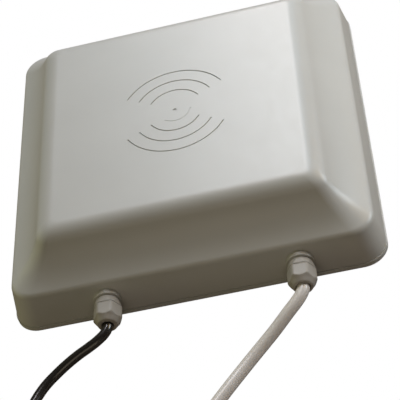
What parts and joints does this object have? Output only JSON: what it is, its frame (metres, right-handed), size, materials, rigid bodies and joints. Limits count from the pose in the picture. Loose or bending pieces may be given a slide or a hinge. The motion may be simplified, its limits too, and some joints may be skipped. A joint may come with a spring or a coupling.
{
  "type": "rfid panel reader",
  "caption": "Square plastic panel housing with hollow-curved slopes on an aluminium back plate, antenna and reader board inside, power and data leads leaving through cable glands.",
  "frame": {"origin": "centre of the back plate, on its back face", "axes": "+Z out of the front panel, +Y up the panel away from the cable glands, +X to the right seen from the front"},
  "size_m": [0.2522, 0.4553, 0.0525],
  "materials": {
    "cover_plastic": "fine satin texture",
    "plate_painted": "fine satin paint",
    "plate_aluminium": "plain mill finish",
    "sheet_aluminium": "bright sheet",
    "gasket_rubber": "matte",
    "steel": "zinc plated",
    "stainless_insert": "turned",
    "brass": "turned",
    "nylon": "natural nylon",
    "board_green": "solder mask",
    "tinned_shield": "tinned",
    "chip_black": "moulded",
    "terminal_green": "moulded",
    "header_cream": "moulded",
    "thermal_pad": "soft",
    "gland_plastic": "moulded nylon",
    "black_jacket": "satin",
    "white_jacket": "satin",
    "power_wire": "insulated",
    "data_wire": "insulated",
    "copper_coax": "formed copper jacket",
    "nickel": "nickel plated",
    "gold_contact": "plated",
    "hood_grey": "moulded"
  },
  "bodies": {
    "reader": {"cover": "cover_plastic", "back_plate": "plate_painted", "gasket": "gasket_rubber", "cover_screws": "steel", "mount_inserts": "stainless_insert", "ground_plane": "sheet_aluminium", "ground_standoffs": "brass", "ground_screws": "steel", "patch": "sheet_aluminium", "patch_spacers": "nylon", "patch_screws": "nylon", "patch_nuts": "nylon", "centre_post": "brass", "centre_post_screws": "steel", "feed_board": "board_green", "feed_probes": "brass", "coax_pigtail": "copper_coax", "coax_plug": "gold_contact", "reader_board": "board_green", "board_standoffs": "brass", "board_screws": "steel", "rf_shield": "tinned_shield", "rf_chips": "chip_black", "board_parts": "chip_black", "buzzer": "chip_black", "power_terminal": "terminal_green", "data_header": "header_cream", "heat_spreader": "plate_aluminium", "thermal_pad": "thermal_pad", "power_gland_washer": "gland_plastic", "power_gland_body": "gland_plastic", "power_gland_seal": "gasket_rubber", "power_gland_nut": "gland_plastic", "power_gland_locknut": "gland_plastic", "power_inner_cable": "black_jacket", "power_wires": "power_wire", "data_gland_washer": "gland_plastic", "data_gland_body": "gland_plastic", "data_gland_seal": "gasket_rubber", "data_gland_nut": "gland_plastic", "data_gland_locknut": "gland_plastic", "data_inner_cable": "white_jacket", "data_wires": "data_wire", "power_lead": "black_jacket", "power_coil": "black_jacket", "power_tail_lead": "black_jacket", "power_socket_body": "black_jacket", "power_socket_sleeve": "nickel", "power_socket_pin": "gold_contact", "data_lead": "white_jacket", "data_coil": "white_jacket", "data_tail_lead": "white_jacket", "data_hood_upper": "hood_grey", "data_hood_lower": "hood_grey", "data_plug_shell": "nickel", "data_plug_insulator": "chip_black", "data_plug_contacts": "gold_contact"},
    "thumbscrew_left": {"thumbscrew_left": "nickel"},
    "thumbscrew_right": {"thumbscrew_right": "nickel"}
  },
  "joints": [
    {"name": "thumbscrew_left_turn", "type": "hinge", "parent": "reader", "child": "thumbscrew_left", "pos_m": [0.078, -0.3338, 0.00775], "axis": [1, 0, 0], "continuous": true},
    {"name": "thumbscrew_right_turn", "type": "hinge", "parent": "reader", "child": "thumbscrew_right", "pos_m": [0.078, -0.3088, 0.00775], "axis": [1, 0, 0], "continuous": true}
  ]
}
